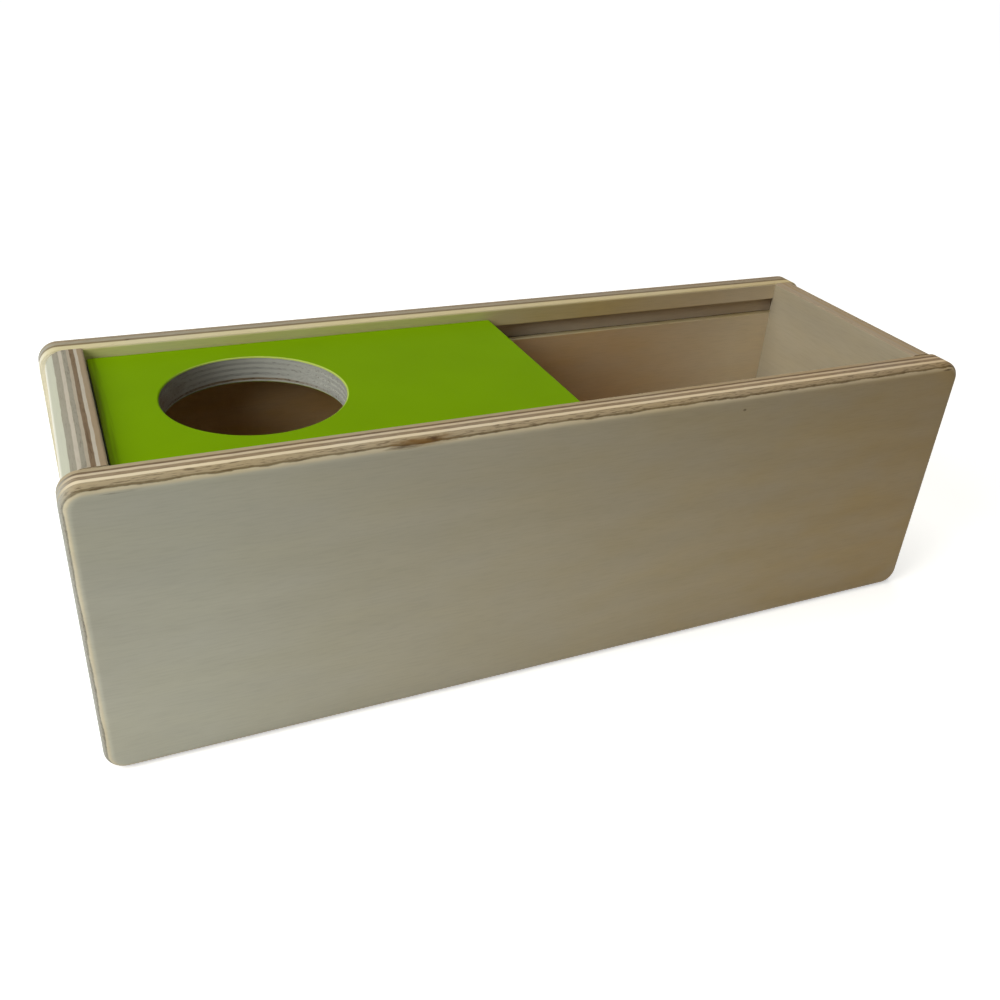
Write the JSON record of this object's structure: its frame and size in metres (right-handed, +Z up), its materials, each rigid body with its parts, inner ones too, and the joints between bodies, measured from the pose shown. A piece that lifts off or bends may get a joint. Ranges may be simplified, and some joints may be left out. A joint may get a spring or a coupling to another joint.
{
  "type": "sliding top toy box",
  "caption": "Long plywood toy box with rounded corners and a green lid that slides in grooves from end to end, with a round hole for dropping small toys through.",
  "frame": {"origin": "middle of the underside, at the height of the surface that the box stands on", "axes": "+X along the box, from the end where the lid rests to the open end, +Y from front to back, +Z up"},
  "size_m": [0.25, 0.085, 0.0795],
  "materials": {
    "side_plywood": "sanded birch plywood with a clear satin coat, layers showing on the rounded edges",
    "end_plywood": "sanded birch plywood with a clear satin coat, layers showing on the top edge",
    "floor_plywood": "thin bare birch plywood",
    "green_painted_plywood": "satin green paint on plywood, with the wall of the hole left bare",
    "beech": "plain turned beech, glued in and hidden"
  },
  "bodies": {
    "box": {"front_side_panel": "side_plywood", "back_side_panel": "side_plywood", "left_end_panel": "end_plywood", "right_end_panel": "end_plywood", "floor_panel": "floor_plywood", "lower_peg_front_left": "beech", "upper_peg_front_left": "beech", "lower_peg_back_left": "beech", "upper_peg_back_left": "beech", "lower_peg_front_right": "beech", "upper_peg_front_right": "beech", "lower_peg_back_right": "beech", "upper_peg_back_right": "beech"},
    "lid": {"sliding_lid": "green_painted_plywood"}
  },
  "joints": [
    {"name": "lid_slide", "type": "slide", "parent": "box", "child": "lid", "axis": [1, 0, 0], "range_m": [0, 0.1094]}
  ]
}
